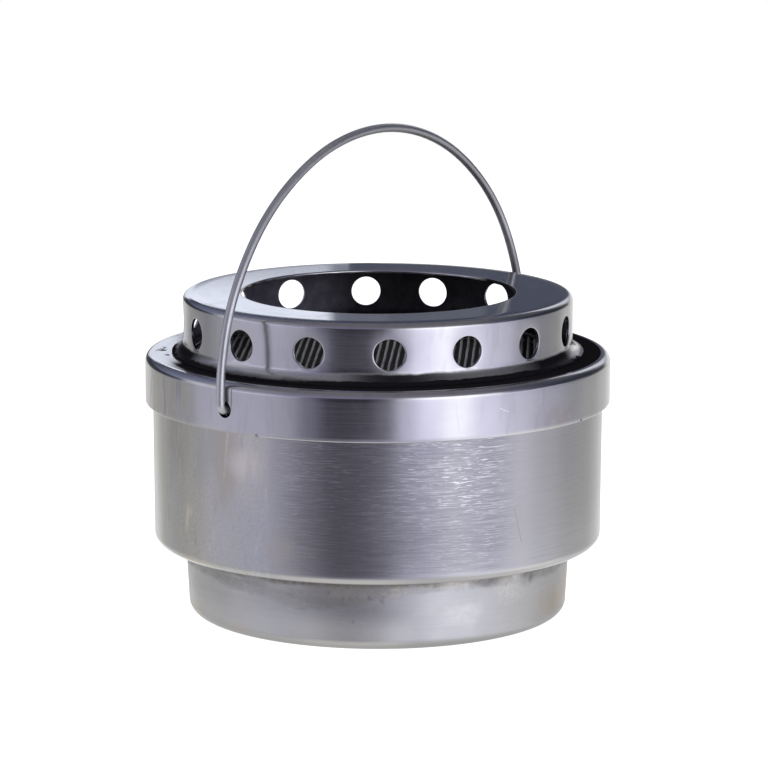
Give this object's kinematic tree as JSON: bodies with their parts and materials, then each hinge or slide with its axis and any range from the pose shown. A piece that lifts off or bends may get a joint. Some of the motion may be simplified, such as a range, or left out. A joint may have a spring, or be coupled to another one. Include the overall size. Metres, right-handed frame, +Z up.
{
  "type": "alcohol spirit stove",
  "caption": "Wick-type alcohol spirit stove: tapered fuel pot in a brushed steel drum, skirted cap, perforated burner ring over a wire screen, and a swinging wire bail.",
  "frame": {"origin": "on the table, at the centre of the foot", "axes": "+Z up out of the flame opening; the bail's pivot line runs along X; the bail folds towards +Y or -Y"},
  "size_m": [0.1564, 0.15, 0.1578],
  "materials": {
    "satin_steel": "satin",
    "brushed_steel": "satin",
    "polished_steel": "polished",
    "wire_steel": "satin",
    "gauze_wire": "satin",
    "weld": "matte",
    "braze": "satin",
    "wadding": "matte",
    "felt": "matte"
  },
  "bodies": {
    "stove": {"fuel_pot": "satin_steel", "pot_seam_braze": "braze", "lower_wadding": "wadding", "middle_wadding": "wadding", "upper_wadding": "wadding", "wick_felt": "felt", "gauze_screen": "gauze_wire", "gauze_rim": "gauze_wire", "drum_shell": "brushed_steel", "skirted_cap": "polished_steel", "cap_tack_welds": "weld", "burner_ring": "polished_steel"},
    "bail": {"bail_handle": "wire_steel"}
  },
  "joints": [
    {"name": "bail_swing", "type": "hinge", "parent": "stove", "child": "bail", "pos_m": [0, 0, 0.076], "axis": [1, 0, 0], "range_deg": [-112.5, 112.5]}
  ]
}
